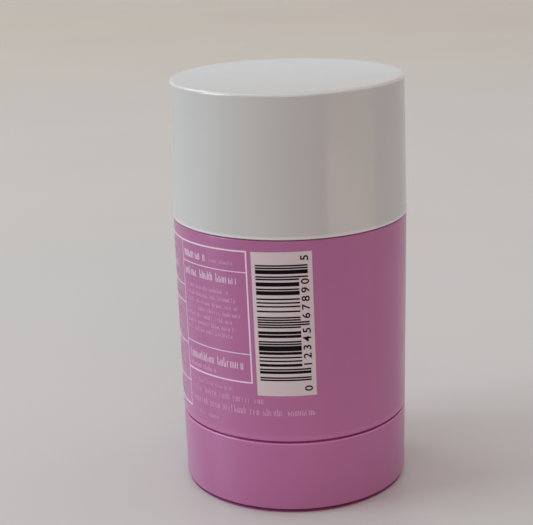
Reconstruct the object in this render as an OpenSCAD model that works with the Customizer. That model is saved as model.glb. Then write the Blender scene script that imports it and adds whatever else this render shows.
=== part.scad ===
// Twist-up deodorant stick, cap on. The origin is the centre of the face that it stands on, +Z is up,
// and angles round the barrel are counted from the front (-Y) towards +X.

/* [Dial base] */
// Height of the dial base, from the surface it stands on to its upper edge
dial_h = 16.25; // [15:0.05:20]
// How far the dial base draws in from its upper edge down to its foot
dial_draw_in = 0.15; // [0:0.05:0.6]
// Thickness of the dial base's side wall
dial_wall = 1.6; // [1.2:0.1:2]
// Thickness of the dial base's floor
dial_floor_t = 1.6; // [1:0.1:2.4]
// Depth of the recess under the floor
foot_recess = 0.8; // [0.4:0.1:1.6]
// Width of the ring that the pack stands on
foot_ring_w = 3.2; // [2:0.1:6]
// Rounding of the foot's outer edge
foot_round = 0.4; // [0.2:0.05:1]
// Rounding of the dial base's upper edge
dial_round = 0.45; // [0.2:0.05:0.8]
// Number of ribs inside the dial base
dial_ribs = 8; // [4:1:16]
// Thickness of each rib inside the dial base
dial_rib_t = 1.2; // [0.8:0.1:2]
// Height of the socket that holds the lift screw's foot
socket_h = 4.4; // [3:0.1:5.6]
// Wall of that socket
socket_wall = 2.2; // [1.4:0.1:4]

/* [Outer barrel] */
// Height of the outer barrel
barrel_h = 43.95; // [42:0.05:60]
// How much wider the outer barrel is at its top than at its lower edge
barrel_flare_w = 0.37; // [0:0.01:1]
// Thickness of the outer barrel's wall
barrel_wall = 1.5; // [1:0.1:2.2]
// Thickness of the shoulder that closes the outer barrel at its top
shoulder_t = 1.4; // [1:0.1:2.4]
// Rounding of the outer barrel's two edges
barrel_round = 0.3; // [0.1:0.05:0.6]
// Clear space between the inner tube and the outer barrel
double_wall_space = 1.7; // [1.2:0.1:5]

/* [Cap] */
// Height of the cap
cap_h = 29.3; // [28:0.1:45]
// How far the cap's mouth stands proud of the barrel's top
cap_proud = 0.13; // [0:0.01:0.5]
// How far the cap narrows from its mouth to its top
cap_draw_in = 0.5; // [0:0.05:0.8]
// Thickness of the cap's side wall
cap_wall = 1.4; // [1:0.1:1.8]
// Thickness of the cap's top
cap_top_t = 1.8; // [1.2:0.1:3]
// Rounding of the cap's top edge
cap_round = 0.9; // [0.4:0.1:1.3]
// Rounding of the cap's lip
lip_round = 0.35; // [0.1:0.05:0.6]
// Number of grip ribs inside the cap
cap_ribs = 12; // [6:1:18]
// Thickness of each grip rib
cap_rib_t = 1.2; // [0.8:0.1:2]
// How far the grip ribs stay back from the cap's mouth
cap_rib_setback = 1.6; // [1.2:0.1:3]

/* [Inner tube] */
// Radius of the tube's bore, which the stick slides in
tube_bore_r = 20; // [17:0.1:24]
// Thickness of the tube's wall below the shoulder
tube_wall = 1.8; // [1.5:0.1:2.6]
// Step at the shoulder, by which the neck is thinner than the tube
neck_step = 0.4; // [0.2:0.05:0.7]
// Height of the neck above the outer barrel
neck_h = 14.9; // [10:0.1:18]
// Thickness of the tube's floor
tube_floor_t = 1.6; // [1.2:0.1:2.4]
// Thickness of the ledge that centres the outer barrel's lower edge
ledge_t = 1.5; // [1:0.1:3]
// Height of the two beads round the neck
bead_h = 0.25; // [0.1:0.05:0.4]
// Height of the cap's bead above the outer barrel
bead_up = 5; // [3:0.1:8]
// Number of splines inside the tube that keep the stick from turning
splines = 4; // [2:1:8]
// Width of each spline
spline_w = 1.6; // [1:0.1:3]
// How far each spline stands into the bore
spline_d = 0.6; // [0.4:0.05:0.9]
// How far the splines end below the tube's rim
spline_setback = 2; // [1:0.5:4]

/* [Lift screw] */
// Radius over the thread's crests
screw_r = 3.9; // [3.4:0.1:5]
// Depth of the thread
thread_depth = 1; // [0.6:0.1:1.4]
// Rise of the platform for one turn of the dial base
thread_lead = 6; // [4:0.5:10]
// Number of thread starts
thread_starts = 2; // [1:1:3]
// Radius of the plain journal that turns in the tube's floor
journal_r = 4.2; // [4:0.1:5]
// Radius of the collar above the tube's floor
collar_r = 7; // [5.6:0.1:10]
// Thickness of that collar
collar_t = 1.4; // [1:0.1:2.4]
// Width across the square foot that sits in the dial base's socket
key_w = 5.6; // [4:0.1:5.8]
// Space over the screw's tip inside the stick
screw_headroom = 1; // [0.5:0.1:2]

/* [Platform and stick] */
// Thickness of the platform under the stick
platform_t = 1.6; // [1:0.1:3]
// Height of the rim round the platform, above the platform
rim_h = 4; // [2:0.1:8]
// Thickness of that rim
rim_t = 1.4; // [1.2:0.1:2.4]
// Height of the threaded hub
hub_h = 9.4; // [7:0.1:14]
// Wall of the threaded hub
hub_wall = 1.9; // [1.2:0.1:4]
// Length of thread that the hub still holds at the top of its rise
hub_grip = 5.4; // [4:0.1:6]
// How far below the tube's rim the platform stops
stop_below_rim = 5.3; // [5:0.1:10]
// Height of the stick's dome above the tube's rim
dome_h = 4.5; // [3:0.1:7]
// How far below the tube's rim the dome starts
dome_start = 0.5; // [0.2:0.1:2]

/* [Clearances] */
// Open seam between the dial base and the outer barrel
dial_seam = 0.4; // [0.3:0.05:0.8]
// Open seam between the outer barrel and the cap
cap_seam = 0.3; // [0.2:0.05:0.6]
// Running clearance along the axis, on both sides of the tube's floor
end_float = 0.2; // [0.1:0.05:0.4]
// Running clearance round the lift screw's journal
journal_gap = 0.1; // [0.05:0.01:0.2]
// Clearance all round the lift screw's thread
thread_gap = 0.4; // [0.35:0.05:0.5]
// Clearance between the stick or the platform and the tube
slide_gap = 0.3; // [0.2:0.05:0.4]
// Clearance between the cap's ribs and the neck's bead
cap_gap = 0.15; // [0.1:0.05:0.3]
// Clearance between the tube and the ribs inside the dial base
guide_gap = 0.3; // [0.2:0.05:0.5]
// Clearance of parts that are pressed together
press_gap = 0.05; // [0.03:0.01:0.1]
// Clearance between the outer barrel and the inner tube that it is pushed onto
sleeve_gap = 0.1; // [0.05:0.01:0.2]

/* [Print] */
// Thickness of each printed film
print_t = 0.06; // [0.06:0.01:0.1]
// Hairline gap under each film
print_gap = 0.02; // [0.02:0.01:0.05]
// Width of the printed frame's outer lines
frame_line_w = 0.38; // [0.2:0.02:0.6]
// Width of the printed frame's inner lines
rule_line_w = 0.25; // [0.15:0.01:0.4]
// Distance of the frame's top line below the barrel's top
frame_drop = 2.7; // [1.5:0.1:3]
// Height of the main frame's bottom line above the barrel's lower edge
frame_up = 12.65; // [12:0.05:13]
// Height of the side column's bottom line above the barrel's lower edge
column_up = 3.15; // [2:0.05:4]
// Lines of small print that the main frame's height takes
frame_rows = 18; // [17:1:22]
// Angle of the frame's right edge
frame_right_angle = -20.9; // [-21.5:0.1:-20]
// Angle of the line between the side column and the main frame
frame_middle_angle = -63.8; // [-66:0.1:-60]
// Angle of the side column's left edge
frame_left_angle = -112; // [-120:1:-105]
// Distance of the pale field's top below the barrel's top
field_drop = 2.5; // [1.5:0.1:3]
// Height of the pale field's lower edge above the barrel's lower edge
field_up = 10.25; // [9:0.05:11]
// Width of the bar code's pale field
field_w = 12.6; // [12.4:0.1:14]
// Angle of the pale field's left edge
field_left_angle = -18.3; // [-18.6:0.1:-17]
// Distance from the pale field's left edge to the bars
quiet_left_w = 0.8; // [0.5:0.05:1]
// Distance from the pale field's lower edge to the first bar
quiet_low_h = 3.4; // [2.4:0.1:4]
// Distance from the last bar to the pale field's top
quiet_top_h = 2.72; // [2:0.01:4]
// Length round the barrel of a bar code's ordinary bar
bar_length = 8.85; // [8:0.05:9]
// Extra length of its guard bars
guard_length = 1.8; // [1:0.1:2]

/* [Hidden] */
$fn = 96;

// Radii that follow from the tube's bore and the walls round it
tube_r = tube_bore_r + tube_wall;
neck_r = tube_r - neck_step;
barrel_r = tube_r + double_wall_space + barrel_wall;
barrel_top_r = barrel_r + barrel_flare_w;
cap_mouth_r = barrel_top_r + cap_proud;
cap_top_r = cap_mouth_r - cap_draw_in;
dial_foot_r = barrel_r - dial_draw_in;
rib_tip_r = neck_r + bead_h + cap_gap;
guide_r = tube_r + guide_gap;
stick_r = tube_bore_r - slide_gap;
rim_inner_r = stick_r - rim_t;
hub_r = screw_r + thread_gap + hub_wall;
socket_r = key_w / 2 * sqrt(2) + socket_wall;

// Heights, counted up from the surface that the pack stands on
dial_floor_z = foot_recess + dial_floor_t;
socket_z = dial_floor_z + socket_h;
tube_z = socket_z + end_float;
tube_floor_z = tube_z + tube_floor_t;
collar_z = tube_floor_z + end_float;
thread_z = collar_z + collar_t;
platform_z = thread_z + 2 * end_float;
platform_top_z = platform_z + platform_t;
barrel_z = dial_h + dial_seam;
barrel_top_z = barrel_z + barrel_h;
shoulder_z = barrel_top_z - shoulder_t;
cap_z = barrel_top_z + cap_seam;
cap_top_z = cap_z + cap_h;
ceiling_z = cap_top_z - cap_top_t;
rim_z = barrel_top_z + neck_h;
rise = rim_z - stop_below_rim - platform_top_z;
screw_top_z = platform_z + rise + hub_grip;
stick_bore_top_z = screw_top_z + screw_headroom;
apex_z = rim_z + dome_h;
spline_top_z = rim_z - spline_setback;

// Steps in a quarter round, in a turn of the thread and round the thread's section
round_steps = 6;
thread_steps = 12;
section_points = 16;
// Length that reaches past a face which is cut through
cut = 1;

// Heights of the printed frame's lines and of the pale field, and one line of small print
frame_top_z = barrel_top_z - frame_drop;
frame_low_z = barrel_z + frame_up;
column_low_z = barrel_z + column_up;
column_span = frame_top_z - column_low_z;
field_z = barrel_z + field_up;
field_h = barrel_h - field_drop - field_up;
line_h = (frame_top_z - frame_low_z) / frame_rows;

// Places in the main frame, in lines below its top line: the title, two rules, two headings and small print
title_row = 1.6;
subtitle_row = 1.75;
title_rule_row = 2.9;
heading_row = 4.05;
block_row = 5.85;
lower_rule_row = 14;
question_row = 15.4;
foot_row = 17.05;
// Places in the side column: its rules as shares of its height, and its rows in lines
column_rules = [0.16, 0.38, 0.62, 0.71];
column_top_row = 1.65;
column_top_rows = 3;
over_rule_rows = 1.07;
// Heights of the letters, in lines
title_share = 0.94;
heading_share = 0.82;
small_share = 0.47;

// Rows of the main frame: how far in from its two sides they start and end, in degrees, and place and size
main_rows = concat(
    [[0, 19.9, title_row, title_share],
     [20.1, 4.5, subtitle_row, small_share],
     [0, 1.6, heading_row, heading_share],
     [0.7, 0, question_row, title_share],
     [0.7, 18, foot_row, small_share]],
    let (ragged = [7.5, 3, 1, 0.5, 6, 5, 6])
        [for (i = [0 : len(ragged) - 1]) [0, ragged[i], block_row + i, small_share]]);
// Rows under the pale field: where they start and end from the frame's left side, and lines below the field
address_rows = [[0, 47, 0.9], [1.7, 72.7, 2.4]];
// Degrees by which each next row at the side column's top, and the row over a higher rule, end earlier
top_rows_step_angle = 5;
rule_rows_step_angle = 20;
// Margin beside the rows, and the size of a letter and of words, in degrees and letters
row_margin_angle = 2.1;
letter_angle = 0.95;
letters_least = 2;
letters_spread = 6;
words_most = 14;

// The bar code is a plain count-up number, drawn with the standard widths of the ten digits
code_digits = [0, 1, 2, 3, 4, 5, 6, 7, 8, 9, 0, 5];
digit_widths = [[3, 2, 1, 1], [2, 2, 2, 1], [2, 1, 2, 2], [1, 4, 1, 1], [1, 1, 3, 2],
                [1, 2, 3, 1], [1, 1, 1, 4], [1, 3, 1, 2], [1, 2, 1, 3], [3, 1, 1, 2]];
digit_modules = 7;
half_digits = 6;
edge_modules = 3;
centre_modules = 5;
guard_step = 2;
code_modules = 2 * edge_modules + centre_modules + len(code_digits) * digit_modules;
bar_h = (field_h - quiet_low_h - quiet_top_h) / code_modules;

cap_white = [0.93, 0.93, 0.92];
plastic_purple = [0.76, 0.46, 0.63];
tube_white = [0.88, 0.88, 0.86];
stick_white = [0.95, 0.94, 0.90];
print_pink = [0.90, 0.80, 0.87];
field_pink = [0.84, 0.78, 0.80];
ink_black = [0.10, 0.08, 0.10];

// Points of a quarter round about a centre, from one angle to another
function quarter(x, z, r, from, to) =
    [for (i = [0 : round_steps])
        let (a = from + (to - from) * i / round_steps)
            [x + r * cos(a), z + r * sin(a)]];

// Outer radius of the barrel at a height
function barrel_at(z) = barrel_r + barrel_flare_w * (z - barrel_z) / barrel_h;

// Degrees round the barrel that a length covers
function degrees(length) = length / barrel_r * 180 / PI;

// Section of the lift screw's thread, widened by a clearance
function thread_section(gap) =
    [for (i = [0 : section_points - 1])
        let (a = 360 * i / section_points,
             crest = min(1, max(0, 0.5 + 0.85 * cos(thread_starts * a))),
             r = screw_r - thread_depth * (1 - crest) + gap)
        [r * cos(a), r * sin(a)]];

module thread(z0, z1, gap) {
    turns = (z1 - z0) / thread_lead;
    translate([0, 0, z0])
        rotate(-360 * z0 / thread_lead)
            linear_extrude(height = z1 - z0, twist = 360 * turns, slices = ceil(turns * thread_steps),
                           $fn = section_points)
                polygon(thread_section(gap));
}

// Copies of a rib or a groove, evenly round the axis
module around(count) {
    for (i = [0 : count - 1])
        rotate(360 / count * (i + 0.5))
            children();
}

module cap() {
    inner_r = cap_mouth_r - cap_wall;
    inner_top_r = cap_top_r - cap_wall;
    color(cap_white)
    union() {
        rotate_extrude()
            polygon(concat(
                [[inner_r, cap_z]],
                quarter(cap_mouth_r - lip_round, cap_z + lip_round, lip_round, -90, 0),
                quarter(cap_top_r - cap_round, cap_top_z - cap_round, cap_round, 0, 90),
                [[0, cap_top_z], [0, ceiling_z]],
                quarter(inner_top_r - cap_round, ceiling_z - cap_round, cap_round, 90, 0)));
        around(cap_ribs)
            translate([rib_tip_r, -cap_rib_t / 2, cap_z + cap_rib_setback])
                cube([inner_top_r + cap_wall / 2 - rib_tip_r, cap_rib_t,
                      ceiling_z + cap_top_t / 2 - cap_z - cap_rib_setback]);
    }
}

module outer_barrel() {
    color(plastic_purple)
    rotate_extrude()
        polygon(concat(
            [[barrel_r - barrel_wall, barrel_z]],
            quarter(barrel_r - barrel_round, barrel_z + barrel_round, barrel_round, -90, 0),
            quarter(barrel_top_r - barrel_round, barrel_top_z - barrel_round, barrel_round, 0, 90),
            [[neck_r + sleeve_gap, barrel_top_z],
             [neck_r + sleeve_gap, shoulder_z],
             [barrel_top_r - barrel_wall, shoulder_z]]));
}

// Half-round bead round the neck, centred at a height
module bead(z) {
    rotate_extrude()
        polygon(concat(
            [[neck_r - neck_step, z - bead_h]],
            quarter(neck_r, z, bead_h, -90, 0),
            quarter(neck_r, z, bead_h, 0, 90),
            [[neck_r - neck_step, z + bead_h]]));
}

module inner_tube() {
    ledge_r = barrel_r - barrel_wall - sleeve_gap;
    color(tube_white)
    difference() {
        union() {
            rotate_extrude()
                polygon([[0, tube_z], [tube_r, tube_z], [tube_r, barrel_z], [ledge_r, barrel_z],
                         [ledge_r, barrel_z + ledge_t], [tube_r, barrel_z + ledge_t], [tube_r, shoulder_z],
                         [neck_r, shoulder_z], [neck_r, rim_z], [tube_bore_r, rim_z],
                         [tube_bore_r, tube_floor_z], [0, tube_floor_z]]);
            bead(barrel_top_z + bead_h);
            bead(barrel_top_z + bead_up);
            around(splines)
                translate([tube_bore_r - spline_d, -spline_w / 2, tube_floor_z - tube_floor_t / 2])
                    cube([spline_d + (tube_wall - neck_step) / 2, spline_w,
                          spline_top_z - tube_floor_z + tube_floor_t / 2]);
        }
        translate([0, 0, tube_z - cut])
            cylinder(r = journal_r + journal_gap, h = tube_floor_t + 2 * cut);
    }
}

module dial_base() {
    inner_r = barrel_r - dial_wall;
    rib_root_r = inner_r - dial_draw_in + (dial_wall - dial_draw_in) / 2;
    low_rib_z = tube_z - end_float - guide_gap;
    high_rib_z = dial_h - dial_round - cut;
    color(plastic_purple)
    difference() {
        union() {
            rotate_extrude()
                polygon(concat(
                    [[0, foot_recess],
                     [dial_foot_r - foot_ring_w, foot_recess],
                     [dial_foot_r - foot_ring_w, 0]],
                    quarter(dial_foot_r - foot_round, foot_round, foot_round, -90, 0),
                    quarter(barrel_r - dial_round, dial_h - dial_round, dial_round, 0, 90),
                    [[inner_r, dial_h], [inner_r - dial_draw_in, dial_floor_z], [0, dial_floor_z]]));
            translate([0, 0, dial_floor_z - dial_floor_t / 2])
                cylinder(r = socket_r, h = socket_h + dial_floor_t / 2);
            around(dial_ribs)
                rotate([90, 0, 0])
                    translate([0, 0, -dial_rib_t / 2])
                        linear_extrude(height = dial_rib_t)
                            polygon([[socket_r - socket_wall / 2, dial_floor_z - dial_floor_t / 2],
                                     [rib_root_r, dial_floor_z - dial_floor_t / 2],
                                     [rib_root_r, high_rib_z],
                                     [guide_r, high_rib_z],
                                     [guide_r, low_rib_z],
                                     [socket_r - socket_wall / 2, low_rib_z]]);
        }
        translate([-key_w / 2 - press_gap, -key_w / 2 - press_gap, dial_floor_z])
            cube([key_w + 2 * press_gap, key_w + 2 * press_gap, socket_h + cut]);
    }
}

module lift_screw() {
    color(tube_white)
    union() {
        translate([-key_w / 2, -key_w / 2, dial_floor_z + end_float])
            cube([key_w, key_w, socket_h - end_float + cut]);
        translate([0, 0, socket_z])
            cylinder(r = journal_r, h = collar_z - socket_z + collar_t / 2);
        translate([0, 0, collar_z])
            cylinder(r = collar_r, h = collar_t);
        thread(thread_z - collar_t / 2, screw_top_z, 0);
    }
}

// Straight grooves that clear the tube's splines, from one height to another
module spline_grooves(z0, z1) {
    around(splines)
        translate([tube_bore_r - spline_d - slide_gap, -spline_w / 2 - slide_gap, z0])
            cube([spline_d + slide_gap + cut, spline_w + 2 * slide_gap, z1 - z0]);
}

module platform() {
    color(tube_white)
    difference() {
        union() {
            rotate_extrude()
                polygon([[0, platform_z], [stick_r, platform_z], [stick_r, platform_top_z + rim_h],
                         [rim_inner_r, platform_top_z + rim_h], [rim_inner_r, platform_top_z],
                         [0, platform_top_z]]);
            translate([0, 0, platform_z])
                cylinder(r = hub_r, h = hub_h);
        }
        thread(platform_z - cut, platform_z + hub_h + cut, thread_gap);
        spline_grooves(platform_z - cut, platform_top_z + rim_h + cut);
    }
}

module product_stick() {
    dome_z = rim_z - dome_start;
    dome_rise = apex_z - dome_z;
    dome_r = (stick_r * stick_r + dome_rise * dome_rise) / (2 * dome_rise);
    color(stick_white)
    difference() {
        union() {
            translate([0, 0, platform_top_z])
                cylinder(r = rim_inner_r - press_gap, h = rim_h + cut);
            translate([0, 0, platform_top_z + rim_h])
                cylinder(r = stick_r, h = dome_z - platform_top_z - rim_h);
            intersection() {
                translate([0, 0, apex_z - dome_r])
                    sphere(r = dome_r);
                translate([0, 0, dome_z - cut])
                    cylinder(r = stick_r, h = dome_rise + 2 * cut);
            }
        }
        translate([0, 0, platform_top_z - cut])
            cylinder(r = hub_r + press_gap, h = platform_z + hub_h - platform_top_z + cut);
        translate([0, 0, platform_top_z])
            cylinder(r = screw_r + thread_gap, h = stick_bore_top_z - platform_top_z);
        spline_grooves(platform_top_z - cut, apex_z + cut);
    }
}

// A printed film on the barrel, between two angles and two heights
module film(a0, a1, z0, z1, lift = 0) {
    low = print_gap + lift;
    rotate_extrude(angle = a1 - a0, start = a0 - 90)
        polygon([[barrel_at(z0) + low, z0], [barrel_at(z0) + low + print_t, z0],
                 [barrel_at(z1) + low + print_t, z1], [barrel_at(z1) + low, z1]]);
}

// A cut through a film, between two angles and two heights
module window(a0, a1, z0, z1) {
    rotate_extrude(angle = a1 - a0, start = a0 - 90)
        polygon([[barrel_r - cut, z0], [barrel_top_r + cut, z0],
                 [barrel_top_r + cut, z1], [barrel_r - cut, z1]]);
}

// Windows between the lines of a panel, whose heights are given from low to high
module panes(a0, a1, heights) {
    for (i = [0 : len(heights) - 2])
        let (low_w = i == 0 ? frame_line_w : rule_line_w,
             high_w = i == len(heights) - 2 ? frame_line_w : rule_line_w)
            window(a0, a1, heights[i] + low_w / 2, heights[i + 1] - high_w / 2);
}

module frame_print() {
    edge_a = degrees(frame_line_w) / 2;
    rule_a = degrees(rule_line_w) / 2;
    half = frame_line_w / 2;
    left = frame_left_angle - edge_a;
    right = frame_right_angle + edge_a;
    color(print_pink)
    difference() {
        film(left, right, column_low_z - half, frame_top_z + half);
        window(frame_middle_angle + rule_a, right + degrees(cut), column_low_z - cut, frame_low_z - half);
        panes(frame_middle_angle + rule_a, frame_right_angle - edge_a,
              [frame_low_z, frame_top_z - lower_rule_row * line_h, frame_top_z - title_rule_row * line_h,
               frame_top_z]);
        panes(frame_left_angle + edge_a, frame_middle_angle - rule_a,
              concat([column_low_z],
                     [for (share = column_rules) column_low_z + share * column_span],
                     [frame_top_z]));
    }
}

// Length of a word in degrees, and where it starts in its row
function word_a(k, row) = letter_angle * (letters_least + (k * 7 + row * 5) % letters_spread);
function word_start(k, row) = k == 0 ? 0 : word_start(k - 1, row) + word_a(k - 1, row) + letter_angle;

// A row of plain blocks in the place of a line of print, with letters of a size in lines
module print_row(a0, a1, z, size, row) {
    half = size * line_h / 2;
    for (k = [0 : words_most - 1])
        let (start = a0 + word_start(k, row), end = min(start + word_a(k, row), a1))
            if (end - start > letter_angle)
                film(start, end, z - half, z + half);
}

module text_print() {
    left = frame_middle_angle + row_margin_angle;
    right = frame_right_angle - row_margin_angle;
    column_left = frame_left_angle + row_margin_angle;
    column_right = frame_middle_angle - row_margin_angle;
    color(print_pink)
    union() {
        for (i = [0 : len(main_rows) - 1])
            let (row = main_rows[i])
                print_row(left + row[0], right - row[1], frame_top_z - row[2] * line_h, row[3], i);
        for (i = [0 : len(address_rows) - 1])
            let (row = address_rows[i])
                print_row(left + row[0], left + row[1], field_z - row[2] * line_h, heading_share, i);
        for (i = [0 : column_top_rows - 1])
            print_row(column_left, column_right - top_rows_step_angle * i,
                      frame_top_z - (column_top_row + i) * line_h, small_share, i);
        for (share = concat([0], column_rules))
            let (end = column_right - rule_rows_step_angle * share,
                 z = column_low_z + share * column_span + over_rule_rows * line_h)
                print_row(column_left, end, z, small_share, len(column_rules));
    }
}

module barcode_field() {
    color(field_pink)
    film(field_left_angle, field_left_angle + degrees(field_w), field_z, field_z + field_h);
}

// Modules before a digit, counted from the first guard bar
function digit_at(i) = edge_modules + digit_modules * i + (i < half_digits ? 0 : centre_modules);

// Modules before an element of a digit
function element_at(widths, j) = j == 0 ? 0 : element_at(widths, j - 1) + widths[j - 1];

module code_bar(at, width, long) {
    a0 = field_left_angle + degrees(quiet_left_w);
    z = field_z + quiet_low_h + at * bar_h;
    length = bar_length + (long ? guard_length : 0);
    film(a0, a0 + degrees(length), z, z + width * bar_h, print_t + print_gap);
}

module barcode_bars() {
    last = len(code_digits) - 1;
    centre_at = digit_at(half_digits) - centre_modules + 1;
    end_at = digit_at(last) + digit_modules;
    color(ink_black)
    union() {
        for (guard = [0, centre_at, end_at], step = [0, guard_step])
            code_bar(guard + step, 1, true);
        for (i = [0 : last])
            let (widths = digit_widths[code_digits[i]], first = i < half_digits ? 1 : 0)
                for (j = [first, first + 2])
                    code_bar(digit_at(i) + element_at(widths, j), widths[j], i == 0 || i == last);
    }
}

cap();
outer_barrel();
inner_tube();
dial_base();
lift_screw();
platform();
product_stick();
frame_print();
text_print();
barcode_field();
barcode_bars();
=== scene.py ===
import math
import random

import bmesh
import bpy
from mathutils import Matrix, Vector


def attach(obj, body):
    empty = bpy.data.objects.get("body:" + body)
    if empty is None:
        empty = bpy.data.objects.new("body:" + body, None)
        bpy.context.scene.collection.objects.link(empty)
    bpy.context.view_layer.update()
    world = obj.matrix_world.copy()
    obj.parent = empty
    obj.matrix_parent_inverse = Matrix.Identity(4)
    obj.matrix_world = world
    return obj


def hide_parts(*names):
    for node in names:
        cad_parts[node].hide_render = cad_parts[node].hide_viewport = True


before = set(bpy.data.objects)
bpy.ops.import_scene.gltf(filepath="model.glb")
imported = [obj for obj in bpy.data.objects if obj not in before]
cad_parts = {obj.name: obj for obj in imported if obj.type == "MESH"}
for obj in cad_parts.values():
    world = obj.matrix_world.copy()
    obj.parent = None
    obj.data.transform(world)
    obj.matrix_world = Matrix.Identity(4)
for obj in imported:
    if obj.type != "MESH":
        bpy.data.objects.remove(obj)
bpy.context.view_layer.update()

MM = 0.001
SEED = 7

# Sizes of the solids that the pieces follow, in millimetres
PACK_H = 90.2
DIAL_H = 16.25
BARREL_Z = 16.65
BARREL_TOP_Z = 60.6
CAP_Z = 60.78
BARREL_R = 25.0
BARREL_TOP_R = 25.37
CAP_MOUTH_R = 25.5
CAP_TOP_R = 25.0
NECK_R = 21.4
TUBE_R = 21.8
BORE_R = 20.0
RIM_Z = 75.5
STICK_R = 19.7
APEX_Z = 80.0
PLATFORM_TOP_Z = 12.2
SCREW_HOLE_R = 4.3

# How much lower the seam under the cap lies in the photograph than in the solids
SEAM_DROP = 0.16


# Geometry helpers

SEGMENTS = 256
ARC_STEPS = 8
AXIS_R = 1e-6
SHARP_ANGLE = math.radians(32)


def arc(x, z, r, start, end, steps=ARC_STEPS):
    """Points of an arc in a lathe's profile, from one angle to another in degrees."""
    angles = [math.radians(start + (end - start) * i / steps) for i in range(steps + 1)]
    return [(x + r * math.cos(a), z + r * math.sin(a)) for a in angles]


def lathe(profile):
    """Turns a closed profile of (radius, height) points, in millimetres, round the axis."""
    bm = bmesh.new()
    rings = []
    for r, z in profile:
        if r < AXIS_R:
            rings.append([bm.verts.new((0, 0, z * MM))])
            continue
        ring = []
        for i in range(SEGMENTS):
            a = 2 * math.pi * i / SEGMENTS
            ring.append(bm.verts.new((r * MM * math.cos(a), r * MM * math.sin(a), z * MM)))
        rings.append(ring)
    for low, high in zip(rings, rings[1:] + rings[:1]):
        for i in range(SEGMENTS):
            j = (i + 1) % SEGMENTS
            corners = (low[i % len(low)], low[j % len(low)],
                       high[j % len(high)], high[i % len(high)])
            face = list(dict.fromkeys(corners))
            if len(face) > 2:
                bm.faces.new(face)
    return bm


def add_boxes(bm, low, high, count):
    """Boxes between two corners in millimetres, spread round the axis from half a step on."""
    size = [(b - a) * MM for a, b in zip(low, high)]
    middle = [(a + b) / 2 for a, b in zip(low, high)]
    for i in range(count):
        place = (Matrix.Rotation(math.radians(360 / count * (i + 0.5)), 4, "Z")
                 @ Matrix.Translation(Vector(middle) * MM)
                 @ Matrix.Diagonal((*size, 1)))
        bmesh.ops.create_cube(bm, size=1, matrix=place)


def finish_mesh(name, bm, mat):
    """Makes an object of a bmesh, smooth but for its real edges."""
    bmesh.ops.recalc_face_normals(bm, faces=bm.faces)
    mesh = bpy.data.meshes.new(name)
    bm.to_mesh(mesh)
    bm.free()
    mesh.shade_smooth()
    mesh.set_sharp_from_angle(angle=SHARP_ANGLE)
    obj = bpy.data.objects.new(name, mesh)
    bpy.context.scene.collection.objects.link(obj)
    mesh.materials.append(mat)
    return obj


# The barrel's surface, which the print lies on. The label sits slightly turned about one point:
# its lean is in degrees a millimetre of height, and its rise in millimetres a degree

DEGREE_ARC = math.radians(BARREL_R)
PRINT_LEAN = 0.036
PRINT_RISE = PRINT_LEAN * DEGREE_ARC ** 2
LEAN_PIVOT_Z = 42.0
LEAN_PIVOT_A = -10.0

# Heights of a film's two faces over the barrel, and its longest step round it in degrees
FILM_LOW = -0.02
FILM_HIGH = 0.045
FILM_STEP = 1.5


def barrel_radius(z):
    share = (z - BARREL_Z) / (BARREL_TOP_Z - BARREL_Z)
    return BARREL_R + (BARREL_TOP_R - BARREL_R) * share


def on_barrel(angle, z, lift):
    """A point over the barrel: degrees from the front, height and lift in millimetres."""
    a = math.radians(angle + PRINT_LEAN * (LEAN_PIVOT_Z - z))
    z += PRINT_RISE * (angle - LEAN_PIVOT_A)
    r = (barrel_radius(z) + lift) * MM
    return Vector((r * math.sin(a), -r * math.cos(a), z * MM))


def degrees_of(length):
    """The angle that a length in millimetres takes up round the barrel."""
    return math.degrees(length / BARREL_R)


def add_film(bm, a0, a1, z0, z1, low=FILM_LOW, high=FILM_HIGH):
    """A thin printed patch between two angles and two heights, closed all round."""
    steps = max(1, math.ceil((a1 - a0) / FILM_STEP))
    rows = []
    for i in range(steps + 1):
        a = a0 + (a1 - a0) * i / steps
        rows.append([bm.verts.new(on_barrel(a, z, lift))
                     for z, lift in ((z0, low), (z1, low), (z1, high), (z0, high))])
    for here, there in zip(rows, rows[1:]):
        for k in range(4):
            m = (k + 1) % 4
            bm.faces.new((here[k], here[m], there[m], there[k]))
    bm.faces.new(rows[0])
    bm.faces.new(list(reversed(rows[-1])))


# Shader helpers

# Noises as features a metre and detail, and the part of a noise's values that is used
DRIFT = (45.0, 2.0)
GLOSS = (160.0, 4.0)
RIPPLE = (90.0, 1.0)
GRAIN = (1800.0, 1.0)
FLOOR_DRIFT = (9.0, 4.0)
NOISE_RANGE = (0.3, 0.7)

RIPPLE_DEPTH = 0.004
GLOSS_SPREAD = 0.1


def set_inputs(tree, node, inputs):
    """Gives a node's inputs other nodes' outputs, plain numbers or colours."""
    for key, value in inputs.items():
        if isinstance(value, bpy.types.NodeSocket):
            tree.links.new(value, node.inputs[key])
        else:
            node.inputs[key].default_value = value


def new_node(tree, kind, inputs, **settings):
    node = tree.nodes.new(kind)
    for key, value in settings.items():
        setattr(node, key, value)
    set_inputs(tree, node, inputs)
    return node


def number(tree, operation, *values, clamp=False):
    node = new_node(tree, "ShaderNodeMath", dict(enumerate(values)),
                    operation=operation, use_clamp=clamp)
    return node.outputs["Value"]


def vector(tree, operation, *values):
    keys = (0, "Scale") if operation == "SCALE" else range(len(values))
    node = new_node(tree, "ShaderNodeVectorMath", dict(zip(keys, values)), operation=operation)
    return node.outputs["Value" if operation == "DOT_PRODUCT" else "Vector"]


def remap(tree, value, old, new):
    """Brings a value from one range to another, and holds it there."""
    node = new_node(tree, "ShaderNodeMapRange",
                    {"Value": value, "From Min": old[0], "From Max": old[1],
                     "To Min": new[0], "To Max": new[1]})
    return node.outputs["Result"]


def coordinates(tree, kind="Object"):
    return tree.nodes.new("ShaderNodeTexCoord").outputs[kind]


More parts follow.
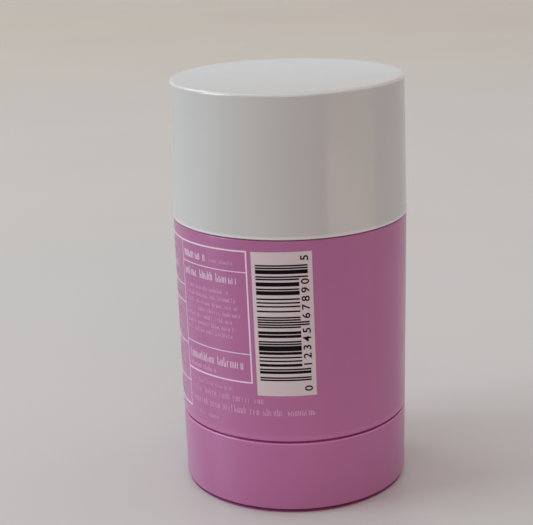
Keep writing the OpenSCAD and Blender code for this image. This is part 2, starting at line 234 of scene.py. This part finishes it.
def own_axis(tree, axis):
    """One of an object's own coordinates, in metres."""
    return new_node(tree, "ShaderNodeSeparateXYZ", {"Vector": coordinates(tree)}).outputs[axis]


def noise(tree, scale, detail):
    node = new_node(tree, "ShaderNodeTexNoise",
                    {"Vector": coordinates(tree), "Scale": scale, "Detail": detail})
    return node.outputs["Fac"]


def mottled(tree, color, mottle, drift):
    """A colour that a noise makes darker and lighter by a share."""
    node = new_node(tree, "ShaderNodeValToRGB", {"Fac": noise(tree, *drift)})
    shares = (1 - mottle, 1 + mottle)
    for element, place, share in zip(node.color_ramp.elements, NOISE_RANGE, shares):
        element.position = place
        element.color = [c * share for c in color] + [1.0]
    return node.outputs["Color"]


def tone_band(tree, tone, middle, half, gain):
    """Paints light into a tone: a gain at one height, which fades out over a half width in
    millimetres.
    """
    away = number(tree, "ABSOLUTE", number(tree, "SUBTRACT", own_axis(tree, "Z"), middle * MM))
    return vector(tree, "SCALE", tone, remap(tree, away, (half * MM, 0.0), (1.0, gain)))


def bump(tree, height, depth, **below):
    """Bumps of a depth in millimetres, over those of another bump's Normal where given."""
    node = new_node(tree, "ShaderNodeBump", {"Height": height, "Distance": depth * MM, **below})
    return node.outputs["Normal"]


def new_material(name):
    mat = bpy.data.materials.new(name)
    mat.use_nodes = True
    return mat, mat.node_tree, mat.node_tree.nodes["Principled BSDF"]


def moulded(name, color, roughness, mottle, grain, coat=0.0, coat_roughness=0.1, specular=0.5,
            painted_light=()):
    """Moulded plastic: slow drifts of tone, fine grain, a faint ripple, patches of other gloss,
    and light painted into the tone in bands.
    """
    mat, tree, shader = new_material(name)
    tone = mottled(tree, color, mottle, DRIFT)
    # Painted highlights and painted shading: the tone made lighter in bands at given heights
    for painted_band in painted_light:
        tone = tone_band(tree, tone, *painted_band)
    spread = roughness * (1 - GLOSS_SPREAD), roughness * (1 + GLOSS_SPREAD)
    ripple = bump(tree, noise(tree, *RIPPLE), RIPPLE_DEPTH)
    set_inputs(tree, shader, {
        "Base Color": tone,
        "Roughness": remap(tree, noise(tree, *GLOSS), NOISE_RANGE, spread),
        "Normal": bump(tree, noise(tree, *GRAIN), grain, Normal=ripple),
        "Coat Normal": ripple,
        "Specular IOR Level": specular,
        "Coat Weight": coat,
        "Coat Roughness": coat_roughness,
    })
    return mat


# Materials

CAP_WHITE = (0.554, 0.554, 0.551)
PURPLE = (0.413, 0.1245, 0.300)
TUBE_WHITE = (0.66, 0.66, 0.64)
STICK_WHITE = (0.78, 0.765, 0.72)
PRINT_PINK = (0.84, 0.67, 0.82)
FINE_PINK = (0.68, 0.36, 0.58)
FIELD_PINK = (0.66, 0.57, 0.61)
INK_BLACK = (0.007, 0.005, 0.007)

# Painted light, as bands of a lighter tone given by middle height, half width and gain: painted
# highlights in rings at the moulded edges (the cap's lip and top rim, the dial's top edge and the
# barrel's foot edge), and last a wide band of painted shading, by which the purple grows lighter
# from the barrel's top to its foot
CAP_PAINTED_HIGHLIGHTS = ((CAP_Z - SEAM_DROP + 0.35, 0.45, 1.3), (PACK_H - 0.3, 0.34, 1.22))
PURPLE_PAINTED_LIGHT = ((DIAL_H - 0.3, 0.26, 1.42), (BARREL_Z + 0.6, 0.9, 1.15),
                (BARREL_Z + 3, 42.0, 1.13))

# The cap's and the purple's bands paint highlights and shading into their tone
cap_white = moulded("cap_white", CAP_WHITE, roughness=0.24, mottle=0.012, grain=0.0004,
                    coat=0.6, coat_roughness=0.12, specular=0.4, painted_light=CAP_PAINTED_HIGHLIGHTS)
purple = moulded("purple_plastic", PURPLE, roughness=0.34, mottle=0.02, grain=0.0012,
                 coat=0.4, coat_roughness=0.14, painted_light=PURPLE_PAINTED_LIGHT)
tube_white = moulded("inner_white", TUBE_WHITE, roughness=0.42, mottle=0.015, grain=0.0015)
stick_white = moulded("solid_stick", STICK_WHITE, roughness=0.55, mottle=0.03, grain=0.004)
print_pink = moulded("pale_print", PRINT_PINK, roughness=0.45, mottle=0.03, grain=0.001)
fine_pink = moulded("fine_print", FINE_PINK, roughness=0.45, mottle=0.03, grain=0.001)
field_pink = moulded("field_print", FIELD_PINK, roughness=0.45, mottle=0.015, grain=0.001)
ink_black = moulded("black_print", INK_BLACK, roughness=0.5, mottle=0.2, grain=0.001,
                    specular=0.05)


# Cap

CAP_WALL = 1.4
CAP_CEILING_T = 1.8
CAP_EDGE = 0.85
CAP_LIP = 0.22

# The slight step at the mouth: its depth, the share of it at its foot, and its two heights
CAP_STEP = 0.12
CAP_STEP_SHARE = 0.3
CAP_STEP_LOW = 0.5
CAP_STEP_HIGH = 0.75

# The ribs begin some way up the cap and sink into its wall and ceiling
CAP_RIBS = 12
RIB_TIP_R = 21.8
RIB_T = 1.2
RIB_UP = 1.6
RIB_SINK = 0.5


def make_cap():
    mouth_z = CAP_Z - SEAM_DROP
    ceiling_z = PACK_H - CAP_CEILING_T
    inner_top_r = CAP_TOP_R - CAP_WALL
    profile = [(CAP_MOUTH_R - CAP_WALL, mouth_z)]
    profile += arc(CAP_MOUTH_R - CAP_LIP, mouth_z + CAP_LIP, CAP_LIP, -90, 0)
    profile += [(CAP_MOUTH_R - CAP_STEP * CAP_STEP_SHARE, mouth_z + CAP_STEP_LOW),
                (CAP_MOUTH_R - CAP_STEP, mouth_z + CAP_STEP_HIGH)]
    profile += arc(CAP_TOP_R - CAP_EDGE, PACK_H - CAP_EDGE, CAP_EDGE, 0, 90)
    profile += [(0, PACK_H), (0, ceiling_z)]
    profile += arc(inner_top_r - CAP_EDGE, ceiling_z - CAP_EDGE, CAP_EDGE, 90, 0)
    bm = lathe(profile)
    add_boxes(bm, (RIB_TIP_R, -RIB_T / 2, CAP_Z + RIB_UP),
              (inner_top_r + RIB_SINK, RIB_T / 2, ceiling_z + RIB_SINK), CAP_RIBS)
    return finish_mesh("cap_shell", bm, cap_white)


# Outer barrel

BARREL_WALL = 1.5
BARREL_FOOT_EDGE = 0.12
BARREL_TOP_EDGE = 0.3
SHOULDER_T = 1.4
SHOULDER_GAP = 0.1


def make_barrel():
    top_z = BARREL_TOP_Z - SEAM_DROP
    shoulder_r = NECK_R + SHOULDER_GAP
    shoulder_z = BARREL_TOP_Z - SHOULDER_T
    profile = [(BARREL_R - BARREL_WALL, BARREL_Z)]
    profile += arc(BARREL_R - BARREL_FOOT_EDGE, BARREL_Z + BARREL_FOOT_EDGE, BARREL_FOOT_EDGE,
                   -90, 0)
    profile += arc(BARREL_TOP_R - BARREL_TOP_EDGE, top_z - BARREL_TOP_EDGE, BARREL_TOP_EDGE,
                   0, 90)
    profile += [(shoulder_r, top_z), (shoulder_r, shoulder_z),
                (BARREL_TOP_R - BARREL_WALL, shoulder_z)]
    return finish_mesh("barrel_sleeve", lathe(profile), purple)


# Dial base: a cup that draws in to its foot and stands on a thin sole

DIAL_WALL = 1.6
DIAL_DRAW = 0.15
DIAL_FLOOR_Z = 2.4
DIAL_EDGE = 0.3
DIAL_FOOT_EDGE = 0.25
RECESS_Z = 0.8
RING_W = 4.2
SOLE_INSET = 0.35
SOLE_T = 0.12

# The groove over the sole, which is the dark line at the foot
GROOVE_DEPTH = 2.2
GROOVE_TOP_Z = 0.84

# The rim, the channel behind it that keeps the seam dark, and the lip that closes the seam
RIM_DROP = 0.12
CHANNEL_INSET = 0.32
CHANNEL_DEPTH = 0.5
LIP_INSET = 1.35
LIP_GAP = 0.06


def make_dial():
    foot_r = BARREL_R - DIAL_DRAW
    recess_r = foot_r - RING_W
    sole_r = foot_r - SOLE_INSET
    groove_r = foot_r - GROOVE_DEPTH
    rim_z = DIAL_H - RIM_DROP
    channel_r = BARREL_R - CHANNEL_INSET
    channel_z = DIAL_H - CHANNEL_DEPTH
    lip_r = BARREL_R - LIP_INSET
    lip_z = BARREL_Z - LIP_GAP
    inner_r = BARREL_R - DIAL_WALL
    profile = [(0, RECESS_Z), (recess_r, RECESS_Z), (recess_r, 0), (sole_r, 0),
               (sole_r, SOLE_T), (groove_r, SOLE_T), (groove_r, GROOVE_TOP_Z)]
    profile += arc(foot_r - DIAL_FOOT_EDGE, GROOVE_TOP_Z + DIAL_FOOT_EDGE, DIAL_FOOT_EDGE,
                   -90, 0)
    profile += arc(BARREL_R - DIAL_EDGE, rim_z - DIAL_EDGE, DIAL_EDGE, 0, 90)
    profile += [(channel_r, rim_z), (channel_r, channel_z), (lip_r, channel_z), (lip_r, lip_z),
                (inner_r, lip_z), (inner_r - DIAL_DRAW, DIAL_FLOOR_Z), (0, DIAL_FLOOR_Z)]
    return finish_mesh("dial_cup", lathe(profile), purple)


# Inner tube: its floor, ledge, step, two beads and rim, and the splines in its bore

TUBE_Z = 7.0
TUBE_FLOOR_Z = 8.6
TUBE_STEP_Z = 59.2
LEDGE_R = 23.4
LEDGE_TOP_Z = 18.15
BEAD = 0.25
BEAD_HEIGHTS = (BARREL_TOP_Z + BEAD, BARREL_TOP_Z + 5)
RIM_EDGE = 0.4
RIM_STEPS = 4
SPLINES = 4
SPLINE_T = 1.6
SPLINE_DEPTH = 0.6
SPLINE_SINK = 0.7
SPLINE_Z = 8.0
SPLINE_TOP_Z = RIM_Z - 2


def make_tube():
    profile = [(TUBE_R, TUBE_Z), (TUBE_R, BARREL_Z), (LEDGE_R, BARREL_Z),
               (LEDGE_R, LEDGE_TOP_Z), (TUBE_R, LEDGE_TOP_Z),
               (TUBE_R, TUBE_STEP_Z), (NECK_R, TUBE_STEP_Z)]
    for z in BEAD_HEIGHTS:
        profile += arc(NECK_R, z, BEAD, -90, 90)
    profile += arc(NECK_R - RIM_EDGE, RIM_Z - RIM_EDGE, RIM_EDGE, 0, 90, RIM_STEPS)
    profile += arc(BORE_R + RIM_EDGE, RIM_Z - RIM_EDGE, RIM_EDGE, 90, 180, RIM_STEPS)
    profile += [(BORE_R, TUBE_FLOOR_Z), (SCREW_HOLE_R, TUBE_FLOOR_Z), (SCREW_HOLE_R, TUBE_Z)]
    bm = lathe(profile)
    add_boxes(bm, (BORE_R - SPLINE_DEPTH, -SPLINE_T / 2, SPLINE_Z),
              (BORE_R + SPLINE_SINK, SPLINE_T / 2, SPLINE_TOP_Z), SPLINES)
    return finish_mesh("neck_tube", bm, tube_white)


# Solid stick: its dome, its seat in the platform's rim, and the hollow round the hub and screw

DOME_Z = RIM_Z - 0.5
DOME_STEPS = 24
SEAT_R = 18.2
SEAT_TOP_Z = PLATFORM_TOP_Z + 4
HUB_R = 6.3
HUB_TOP_Z = 20
HOLE_TOP_Z = 75


def make_stick():
    rise = APEX_Z - DOME_Z
    dome_r = (STICK_R ** 2 + rise ** 2) / (2 * rise)
    half = math.degrees(math.asin(STICK_R / dome_r))
    profile = [(HUB_R, PLATFORM_TOP_Z), (SEAT_R, PLATFORM_TOP_Z), (SEAT_R, SEAT_TOP_Z),
               (STICK_R, SEAT_TOP_Z)]
    profile += arc(0, APEX_Z - dome_r, dome_r, 90 - half, 90, DOME_STEPS)[:-1]
    profile += [(0, APEX_Z), (0, HOLE_TOP_Z), (SCREW_HOLE_R, HOLE_TOP_Z),
                (SCREW_HOLE_R, HUB_TOP_Z), (HUB_R, HUB_TOP_Z)]
    return finish_mesh("wax_stick", lathe(profile), stick_white)


# Printed frame: heights in millimetres, uprights in degrees from the front

FRAME_LINE = 0.32
RULE_LINE = 0.19
FRAME_TOP_Z = 58.07
FRAME_LOW_Z = 29.54
COLUMN_LOW_Z = 20.4
FRAME_RIGHT = -20.76
FRAME_MIDDLE = -63.8
FRAME_LEFT = -112.0
TITLE_RULE_Z = 53.59
LOWER_RULE_Z = 35.83
COLUMN_RULES = (26.1, 34.7, 43.9, 47.8)


def make_frame_print():
    bm = bmesh.new()

    def level(a0, a1, z, width):
        add_film(bm, a0, a1, z - width / 2, z + width / 2)

    def upright(a, z0, z1, width):
        half_a = degrees_of(width) / 2
        add_film(bm, a - half_a, a + half_a, z0, z1)

    edge_a = degrees_of(FRAME_LINE) / 2
    rule_a = degrees_of(RULE_LINE) / 2
    half = FRAME_LINE / 2
    level(FRAME_LEFT - edge_a, FRAME_RIGHT + edge_a, FRAME_TOP_Z, FRAME_LINE)
    upright(FRAME_RIGHT, FRAME_LOW_Z - half, FRAME_TOP_Z - half, FRAME_LINE)
    upright(FRAME_LEFT, COLUMN_LOW_Z - half, FRAME_TOP_Z - half, FRAME_LINE)
    upright(FRAME_MIDDLE, COLUMN_LOW_Z + half, FRAME_TOP_Z - half, RULE_LINE)
    level(FRAME_MIDDLE + rule_a, FRAME_RIGHT - edge_a, FRAME_LOW_Z, FRAME_LINE)
    level(FRAME_LEFT + edge_a, FRAME_MIDDLE + rule_a, COLUMN_LOW_Z, FRAME_LINE)
    for z in (TITLE_RULE_Z, LOWER_RULE_Z):
        level(FRAME_MIDDLE + rule_a, FRAME_RIGHT - edge_a, z, RULE_LINE)
    for z in COLUMN_RULES:
        level(FRAME_LEFT + edge_a, FRAME_MIDDLE - rule_a, z, RULE_LINE)
    return finish_mesh("frame_lines", bm, print_pink)


# Rows of marks in the place of small print: plain strokes that spell nothing

# Heights of a mark's two strokes and of its dash, as shares of the row's height
FIRST_TALL = (0.68, 0.72, 0.7, 1.0)
SECOND_TALL = (0.7, 0.45, 0.7)
DASH_LEVEL = (0.0, 0.34, 0.6)

# Where the second stroke stands in a mark, and how often there is one and a dash
SECOND_PLACE = 0.46
SECOND_CHANCE = 0.7
DASH_CHANCE = 0.5

# Fewest and most marks in a word
HEADING_WORD = (5, 11)
FINE_WORD = (3, 8)

# A row is its two ends in degrees and its height, and then its marks: how high they are, how
# far apart, and how thick their strokes
TEXT_LEFT = FRAME_MIDDLE + 2.1
COLUMN_LEFT = FRAME_LEFT + 3
COLUMN_RIGHT = FRAME_MIDDLE - 2.5
HEADING_ROWS = (
    (TEXT_LEFT, -42.9, 54.75, 2.05, 0.86, 0.19),
    (TEXT_LEFT, -24.6, 50.85, 1.85, 0.80, 0.17),
    (TEXT_LEFT + 0.7, -22.7, 32.35, 1.95, 0.84, 0.17),
    (COLUMN_LEFT, FRAME_MIDDLE - 4.5, 50.9, 1.8, 0.80, 0.17),
)
FINE_ROWS = (
    (-41.6, -27.5, 54.9, 0.8, 0.55, 0.12),
    (TEXT_LEFT + 0.7, -41.0, 30.4, 1.2, 0.58, 0.18),
    (TEXT_LEFT + 1.2, -30.0, 27.15, 1.1, 0.62, 0.13),
    (TEXT_LEFT + 2.0, -14.6, 24.95, 1.5, 0.72, 0.16),
    (TEXT_LEFT + 1.7, 11.0, 22.4, 1.6, 0.74, 0.18),
    (TEXT_LEFT, -40.0, 19.8, 1.1, 0.62, 0.12),
)

# The list under the heading: its first row's height, the step down, and the rows' right ends
LIST_TOP_Z = 48.3
LIST_STEP = 1.58
LIST_ENDS = (-30.7, -26.0, -24.5, -23.7, -29.0, -28.0, -29.0)
LIST_MARKS = (1.0, 0.56, 0.14)

# The side column: the rows' heights, and how unevenly they end
COLUMN_ROWS = (55.5, 53.9, 49.1, 44.6, 40.9, 39.3, 37.7, 36.1, 31.5, 29.9, 28.3, 23.2, 21.6)
COLUMN_RAG = 4
COLUMN_MARKS = (0.95, 0.56, 0.14)


def add_marks(bm, a0, a1, low, height, pitch, stroke, word, rng):
    """One row between two angles: words of short upright strokes with a dash here and there."""
    a = a0
    pitch_a = degrees_of(pitch)
    stroke_a = degrees_of(stroke)
    while a < a1 - pitch_a:
        for _ in range(rng.randint(*word)):
            if a > a1 - pitch_a:
                break
            second_a = a + pitch_a * SECOND_PLACE
            add_film(bm, a, a + stroke_a, low, low + height * rng.choice(FIRST_TALL))
            if rng.random() < SECOND_CHANCE:
                top = low + height * rng.choice(SECOND_TALL)
                add_film(bm, second_a, second_a + stroke_a, low, top)
            if rng.random() < DASH_CHANCE:
                level = low + height * rng.choice(DASH_LEVEL)
                add_film(bm, a + stroke_a, second_a, level, level + stroke)
            a += pitch_a
        a += pitch_a


def marks_piece(name, rows, mat, word, seed):
    rng = random.Random(seed)
    bm = bmesh.new()
    for row in rows:
        add_marks(bm, *row, word, rng)
    return finish_mesh(name, bm, mat)


def make_heading_print():
    return marks_piece("heading_print", HEADING_ROWS, print_pink, HEADING_WORD, SEED)


def make_fine_print():
    rows = list(FINE_ROWS)
    for i, end in enumerate(LIST_ENDS):
        rows.append((TEXT_LEFT, end, LIST_TOP_Z - LIST_STEP * i, *LIST_MARKS))
    for low in COLUMN_ROWS:
        rows.append((COLUMN_LEFT, COLUMN_RIGHT - COLUMN_RAG * (low % 2), low, *COLUMN_MARKS))
    return marks_piece("fine_print", rows, fine_pink, FINE_WORD, SEED + 1)


# Bar code: a plain count-up number in the standard widths of the ten digits

FIELD_LEFT = -18.3
FIELD_RIGHT = 10.2
FIELD_LOW_Z = 26.9
FIELD_TOP_Z = 58.1
BAR_LEFT = -16.45
BAR_LOW_Z = 30.3
BAR_LENGTH = 8.85
LONG_EXTRA = 1.8
MODULE = 0.264

# The number, and each digit's two spaces and two bars in modules
CODE = (0, 1, 2, 3, 4, 5, 6, 7, 8, 9, 0, 5)
WIDTHS = ((3, 2, 1, 1), (2, 2, 2, 1), (2, 1, 2, 2), (1, 4, 1, 1), (1, 1, 3, 2),
          (1, 2, 3, 1), (1, 1, 1, 4), (1, 3, 1, 2), (1, 2, 1, 3), (3, 1, 1, 2))

# Modules in the outer guards, the centre guard and a digit, and digits in a half
GUARD = 3
CENTRE = 5
DIGIT = 7
HALF = 6

# Heights of the ink's two faces over the barrel, and how far it spreads past a bar
INK_LOW = 0.03
INK_HIGH = 0.065
INK_SPREAD = 0.035


def digit_at(i):
    """Modules before a digit."""
    return GUARD + DIGIT * i + (CENTRE if i >= HALF else 0)


def code_bars():
    """Every bar as (modules before it, its width in modules, whether it is long)."""
    last = len(CODE) - 1
    centre = digit_at(HALF) - CENTRE
    end = digit_at(last) + DIGIT
    bars = [(at, 1, True) for at in (0, 2, centre + 1, centre + 3, end, end + 2)]
    for i, digit in enumerate(CODE):
        at = digit_at(i)
        for j, width in enumerate(WIDTHS[digit]):
            # A digit of the first half begins with a space, one of the second with a bar
            if j % 2 == (1 if i < HALF else 0):
                bars.append((at, width, i in (0, last)))
            at += width
    return bars


def make_field():
    bm = bmesh.new()
    add_film(bm, FIELD_LEFT, FIELD_RIGHT, FIELD_LOW_Z, FIELD_TOP_Z)
    return finish_mesh("code_field", bm, field_pink)


def make_bars():
    bm = bmesh.new()
    for at, width, long in code_bars():
        z = BAR_LOW_Z + at * MODULE
        end = BAR_LEFT + degrees_of(BAR_LENGTH + (LONG_EXTRA if long else 0))
        add_film(bm, BAR_LEFT, end, z - INK_SPREAD, z + width * MODULE + INK_SPREAD,
                 INK_LOW, INK_HIGH)
    return finish_mesh("code_bars", bm, ink_black)


# The digits beside the bars: their height, the angle of their feet, the height of a capital in
# the font, their added weight and their stretch along the row
DIGIT_H = 1.66
DIGIT_FOOT_A = 8.3
FONT_CAP = 0.73
DIGIT_WEIGHT = 0.035
DIGIT_STRETCH = 1.12
DIGIT_CURVE_STEPS = 4
FIRST_DIGIT_UP = 1.6
LAST_DIGIT_DOWN = 1.3

# Half a digit's thickness before its two faces are laid over the barrel, and the weld's reach
DIGIT_EXTRUDE = 0.5
WELD = 0.001


def digit_z(i):
    """The height of a digit's middle: the first and last stand clear of the bars."""
    if i == 0:
        return FIELD_LOW_Z + FIRST_DIGIT_UP
    if i == len(CODE) - 1:
        return FIELD_TOP_Z - LAST_DIGIT_DOWN
    return BAR_LOW_Z + (digit_at(i) + DIGIT / 2) * MODULE


def make_digits():
    """The number beside the bars, read upwards, with the digits' tops towards the bars."""
    bm = bmesh.new()
    for i, digit in enumerate(CODE):
        z = digit_z(i)
        curve = bpy.data.curves.new("digit", "FONT")
        curve.body = str(digit)
        curve.align_x = "CENTER"
        curve.size = DIGIT_H / FONT_CAP
        curve.extrude = DIGIT_EXTRUDE
        curve.offset = DIGIT_WEIGHT
        curve.resolution_u = DIGIT_CURVE_STEPS
        letter = bpy.data.objects.new("digit", curve)
        bpy.context.scene.collection.objects.link(letter)
        bpy.context.view_layer.update()
        mesh = bpy.data.meshes.new_from_object(letter)
        part = bmesh.new()
        part.from_mesh(mesh)
        for v in part.verts:
            lift = INK_HIGH if v.co.z > 0 else INK_LOW
            angle = DIGIT_FOOT_A - degrees_of(v.co.y)
            v.co = on_barrel(angle, z + v.co.x * DIGIT_STRETCH, lift)
        part.to_mesh(mesh)
        part.free()
        bm.from_mesh(mesh)
        bpy.data.objects.remove(letter)
        bpy.data.curves.remove(curve)
        bpy.data.meshes.remove(mesh)
    bmesh.ops.remove_doubles(bm, verts=bm.verts, dist=WELD * MM)
    return finish_mesh("code_digits", bm, ink_black)


# Every piece, the solid's node that it replaces where there is one, its body and its slot
pieces = (
    (make_cap(), "cap", "cap", "cap_white"),
    (make_barrel(), "outer_barrel", "barrel", "purple_plastic"),
    (make_dial(), "dial_base", "dial", "purple_plastic"),
    (make_tube(), "inner_tube", "barrel", "inner_white"),
    (make_stick(), "product_stick", "stick", "solid_stick"),
    (make_frame_print(), "frame_print", "barrel", "pale_print"),
    (make_heading_print(), "text_print", "barrel", "pale_print"),
    (make_fine_print(), None, "barrel", "pale_print"),
    (make_field(), "barcode_field", "barrel", "field_print"),
    (make_bars(), "barcode_bars", "barrel", "black_print"),
    (make_digits(), None, "barrel", "black_print"),
)
for piece, node, body, slot_name in pieces:
    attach(piece, body)
    if node:
        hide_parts(node)

# The two nodes that keep their solids get the inner pieces' material
for node in ("lift_screw", "platform"):
    for material_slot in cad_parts[node].material_slots:
        material_slot.material = tube_white


# Floor: its tone is times FLOOR_FAR at the far distance; its size and distances are in metres

FLOOR_COLOR = (0.60, 0.585, 0.575)
FLOOR_MOTTLE = 0.02
FLOOR_FAR = (1.01, 0.915, 0.80)
FLOOR_ROUGHNESS = 0.35
FLOOR_SPECULAR = 0.4
FLOOR_NEAR_Y = 0.15
FLOOR_FAR_Y = 0.85
FLOOR_SIZE = 6.0


def make_floor():
    mat, tree, shader = new_material("floor")
    tone = mottled(tree, FLOOR_COLOR, FLOOR_MOTTLE, FLOOR_DRIFT)
    reach = remap(tree, own_axis(tree, "Y"), (FLOOR_NEAR_Y, FLOOR_FAR_Y), (0.0, 1.0))
    far = vector(tree, "MULTIPLY_ADD", reach, [c - 1 for c in FLOOR_FAR], (1, 1, 1))
    set_inputs(tree, shader, {
        "Base Color": vector(tree, "MULTIPLY", tone, far),
        "Roughness": FLOOR_ROUGHNESS,
        "Specular IOR Level": FLOOR_SPECULAR,
    })
    bm = bmesh.new()
    bmesh.ops.create_grid(bm, x_segments=1, y_segments=1, size=FLOOR_SIZE / 2)
    floor = finish_mesh("floor", bm, mat)


# World: light from the horizon on three sides, which gives way to one tone above. HORIZON_TOP is
# the sine of the angle over the horizon by which it has

UP = (0, 0, 1)
HORIZON_TOP = 0.45
WORLD_HIGH = (0.555, 0.51, 0.495)
WORLD_SIDES = (
    ((0, 1, 0), (0.67, 0.70, 0.715)),
    ((1, 0, 0), (0.05, 0.05, 0.05)),
    ((-1, 0, 0), (0.12, 0.15, 0.16)),
)


def make_world():
    world = bpy.data.worlds.new("studio")
    world.use_nodes = True
    tree = world.node_tree
    way = coordinates(tree, "Generated")
    rise = vector(tree, "DOT_PRODUCT", way, UP)
    high = number(tree, "DIVIDE", rise, HORIZON_TOP, clamp=True)
    low = number(tree, "SUBTRACT", 1.0, high, clamp=True)
    total = vector(tree, "SCALE", WORLD_HIGH, high)
    for side, color in WORLD_SIDES:
        facing = vector(tree, "DOT_PRODUCT", way, side)
        share = number(tree, "MULTIPLY", facing, low, clamp=True)
        total = vector(tree, "ADD", total, vector(tree, "SCALE", color, share))
    set_inputs(tree, tree.nodes["Background"], {"Color": total})
    bpy.context.scene.world = world


# Lamps: name, place and aim, width, depth where it isn't square, power and colour
LAMPS = (
    ("overhead", (-0.3, 0.2, 1.8), (-0.3, 0, 0.05), 3.2, 0.6, 5.5, (0.78, 0.96, 1.0)),
    ("key", (-2.6, -0.5, 1.4), (0, 0, 0.05), 1.35, None, 36.5, (0.82, 0.965, 1.0)),
    ("key_back", (-1.9, 1.5, 1.9), (0, 0, 0.05), 1.2, None, 12.0, (0.87, 0.96, 1.0)),
    ("right", (1.75, -0.9, 0.13), (0, 0, 0.09), 2.0, 0.2, 1.85, (1.0, 0.87, 0.69)),
    ("front", (0.3, -2.2, 1.3), (0, 0, 0.05), 1.2, None, 8.8, (1.0, 0.67, 0.59)),
)


def area_light(name, place, aim, width, depth, power, color):
    data = bpy.data.lights.new(name, "AREA")
    data.size = width
    if depth:
        data.shape = "RECTANGLE"
        data.size_y = depth
    data.energy = power
    data.color = color
    lamp = bpy.data.objects.new(name, data)
    lamp.location = place
    lamp.rotation_euler = (Vector(aim) - Vector(place)).to_track_quat("-Z", "Y").to_euler()
    bpy.context.scene.collection.objects.link(lamp)


# The camera's place, and its turn in radians, worked out from the rims and seams of the pack
# in the photograph; its lens and sensor in millimetres, and its reach in metres
CAMERA_PLACE = Vector((0, -288.89, 133.71)) * MM
CAMERA_PITCH = 0.2863
CAMERA_YAW = -0.0188
CAMERA_ROLL = -0.0304
CAMERA_LENS = 92.03
CAMERA_SENSOR = 36
CAMERA_NEAR = 0.01
CAMERA_FAR = 20


def make_camera():
    cp, sp = math.cos(CAMERA_PITCH), math.sin(CAMERA_PITCH)
    cy, sy = math.cos(CAMERA_YAW), math.sin(CAMERA_YAW)
    forward = Vector((sy * cp, cy * cp, -sp))
    level = Vector((cy, -sy, 0))
    upright = level.cross(forward)
    cr, sr = math.cos(CAMERA_ROLL), math.sin(CAMERA_ROLL)
    right = cr * level + sr * upright
    up = -sr * level + cr * upright
    data = bpy.data.cameras.new("camera")
    data.sensor_width = CAMERA_SENSOR
    data.lens = CAMERA_LENS
    data.clip_start = CAMERA_NEAR
    data.clip_end = CAMERA_FAR
    camera = bpy.data.objects.new("camera", data)
    turn = Matrix((right, up, -forward)).transposed().to_4x4()
    camera.matrix_world = Matrix.Translation(CAMERA_PLACE) @ turn
    bpy.context.scene.collection.objects.link(camera)
    bpy.context.scene.camera = camera


make_floor()
make_world()
for lamp in LAMPS:
    area_light(*lamp)
make_camera()
bpy.context.scene.view_settings.view_transform = "Standard"
